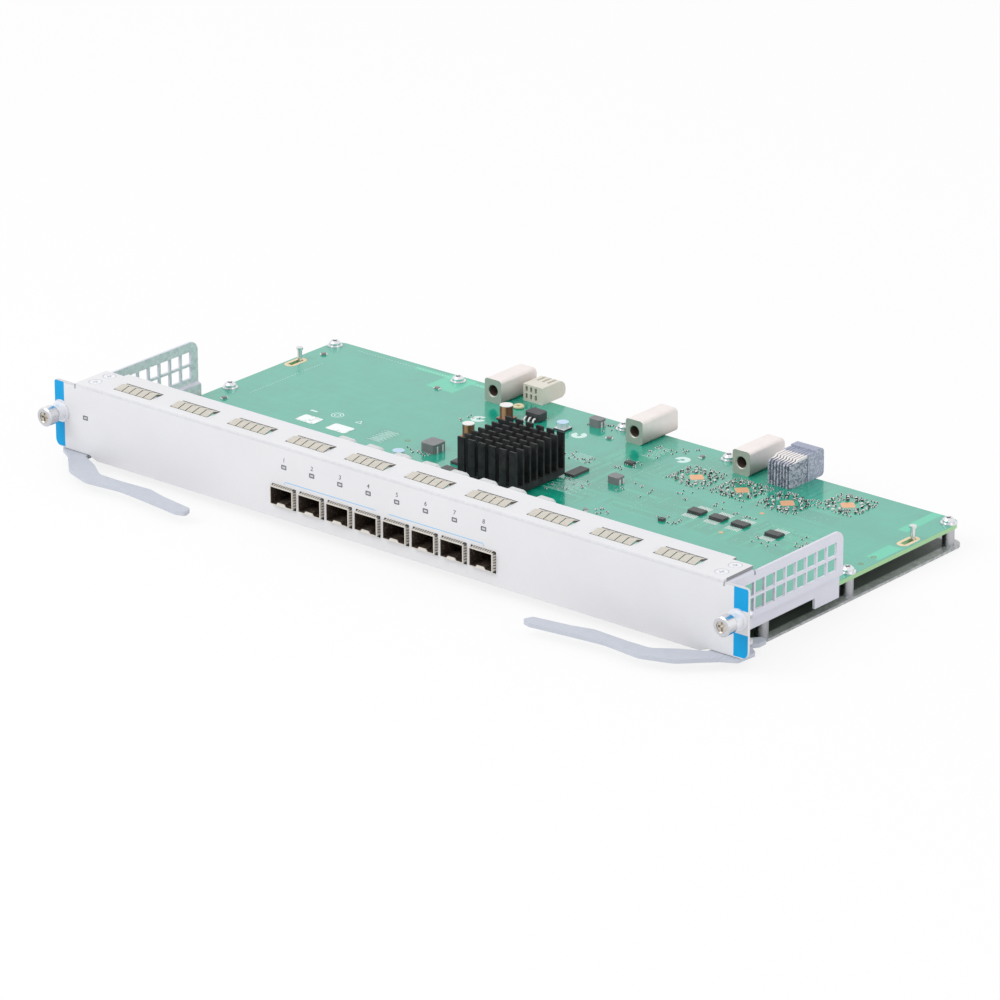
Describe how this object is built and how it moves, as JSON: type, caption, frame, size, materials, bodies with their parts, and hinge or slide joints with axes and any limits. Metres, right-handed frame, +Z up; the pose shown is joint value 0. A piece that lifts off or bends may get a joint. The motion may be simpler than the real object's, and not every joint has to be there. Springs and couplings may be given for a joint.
{
  "type": "line card",
  "caption": "Chassis line card: folded front panel with module cages and captive screws, swinging ejector levers, slotted side brackets, board on a base plate, rear guide blocks and connectors",
  "frame": {"origin": "Centre of the base plate's underside, midway between the ears, 100 mm behind the panel's front face.", "axes": "+X along the panel to the right seen from the front, +Y from the front panel towards the backplane, +Z up from the base plate."},
  "size_m": [0.4001, 0.2136, 0.0408],
  "materials": {
    "panel_paint": "fine satin light grey paint",
    "bracket_paint": "satin pale lavender-white paint outside, bare galvanised inside",
    "galvanised": "galvanised sheet with spangle",
    "board_mask": "glossy green solder mask",
    "gasket_metal": "bright spring metal",
    "zinc_screw": "bright zinc plated",
    "steel": "plain steel",
    "cage_metal": "bright tin plated sheet",
    "dark_plastic": "dull black",
    "clear_plastic": "clear polished",
    "lever_paint": "satin grey-blue paint",
    "nickel": "bright nickel plated",
    "die_cast": "smooth die-cast zinc",
    "cream_plastic": "dull cream",
    "grey_blue_plastic": "dull grey-blue",
    "black_anodised": "black anodised",
    "ferrite": "dull dark grey",
    "can_metal": "satin sleeve and bright top",
    "ceramic": "dull ceramic",
    "gold": "gold plated"
  },
  "bodies": {
    "card": {"front_panel": "panel_paint", "side_bracket_left": "bracket_paint", "side_bracket_right": "bracket_paint", "base_plate": "galvanised", "circuit_board": "board_mask", "gasket_strips": "gasket_metal", "flange_screws": "zinc_screw", "board_screws": "zinc_screw", "standoffs": "steel", "board_washers": "steel", "module_cage_1": "cage_metal", "module_cage_2": "cage_metal", "module_cage_3": "cage_metal", "module_cage_4": "cage_metal", "module_cage_5": "cage_metal", "module_cage_6": "cage_metal", "module_cage_7": "cage_metal", "module_cage_8": "cage_metal", "host_connectors": "dark_plastic", "light_pipe_1": "clear_plastic", "light_pipe_2": "clear_plastic", "light_pipe_3": "clear_plastic", "light_pipe_4": "clear_plastic", "light_pipe_5": "clear_plastic", "light_pipe_6": "clear_plastic", "light_pipe_7": "clear_plastic", "light_pipe_8": "clear_plastic", "status_light_pipe": "clear_plastic", "lever_left_rivet": "steel", "lever_right_rivet": "steel", "ferrule_left": "nickel", "captive_spring_left": "steel", "ferrule_right": "nickel", "captive_spring_right": "steel", "guide_block_1": "die_cast", "guide_block_2": "die_cast", "guide_block_3": "die_cast", "power_connector": "cream_plastic", "signal_housing": "grey_blue_plastic", "signal_wafers": "grey_blue_plastic", "heat_sink": "black_anodised", "processor": "dark_plastic", "flat_chips": "dark_plastic", "small_outline_chips": "dark_plastic", "pulse_transformer": "dark_plastic", "power_inductors": "ferrite", "capacitor_cans": "can_metal", "chip_capacitors": "ceramic", "ground_pins": "gold"},
    "lever_left": {"ejector_lever_left": "lever_paint"},
    "lever_right": {"ejector_lever_right": "lever_paint"},
    "captive_left": {"retaining_ring_left": "steel"},
    "captive_right": {"retaining_ring_right": "steel"},
    "screw_left": {"captive_screw_left": "nickel"},
    "screw_right": {"captive_screw_right": "nickel"}
  },
  "joints": [
    {"name": "lever_left_swing", "type": "hinge", "parent": "card", "child": "lever_left", "pos_m": [-0.1855, -0.091, 0.00515], "axis": [0, 0, -1], "range_deg": [0, 60]},
    {"name": "captive_left_push", "type": "slide", "parent": "card", "child": "captive_left", "axis": [0, 1, 0], "range_m": [0, 0.0032], "stiffness_N_per_m": 300, "deforming": ["captive_spring_left"]},
    {"name": "captive_left_turn", "type": "hinge", "parent": "captive_left", "child": "screw_left", "pos_m": [-0.1957, -0.1, 0.0239], "axis": [0, 1, 0], "continuous": true},
    {"name": "lever_right_swing", "type": "hinge", "parent": "card", "child": "lever_right", "pos_m": [0.1855, -0.091, 0.00515], "axis": [0, 0, 1], "range_deg": [0, 60]},
    {"name": "captive_right_push", "type": "slide", "parent": "card", "child": "captive_right", "axis": [0, 1, 0], "range_m": [0, 0.0032], "stiffness_N_per_m": 300, "deforming": ["captive_spring_right"]},
    {"name": "captive_right_turn", "type": "hinge", "parent": "captive_right", "child": "screw_right", "pos_m": [0.1942, -0.1, 0.0239], "axis": [0, 1, 0], "continuous": true}
  ]
}
